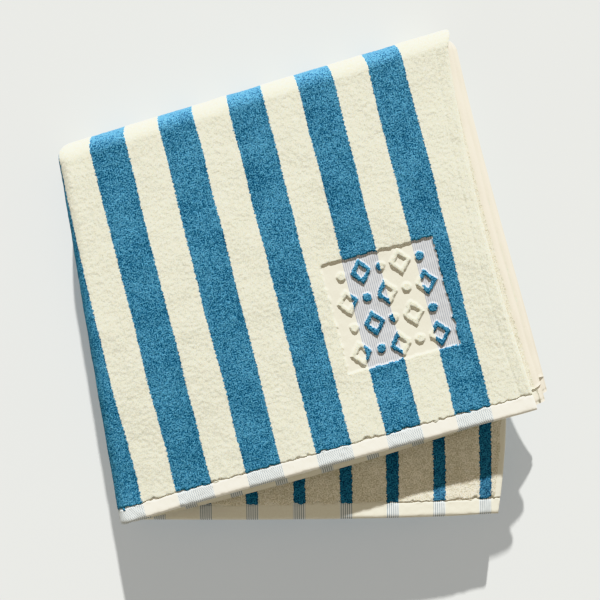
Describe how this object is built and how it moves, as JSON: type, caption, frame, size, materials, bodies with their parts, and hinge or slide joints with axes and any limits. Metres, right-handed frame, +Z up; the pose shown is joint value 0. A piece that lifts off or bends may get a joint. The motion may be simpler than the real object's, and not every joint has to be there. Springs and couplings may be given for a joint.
{
  "type": "folded bath towel",
  "caption": "Bath towel folded flat: one striped cotton terry cloth with woven end hems and a sunken woven square, the lower hem turned out from under the top.",
  "frame": {"origin": "on the surface the towel lies on, under the middle of its bounding box", "axes": "+X along the top hem to its right end, +Y from the hems to the far fold, +Z up"},
  "size_m": [0.3706, 0.4038, 0.0552],
  "materials": {
    "terry": "looped cotton terry, matt"
  },
  "bodies": {
    "root": {"towel": "terry"}
  },
  "joints": []
}
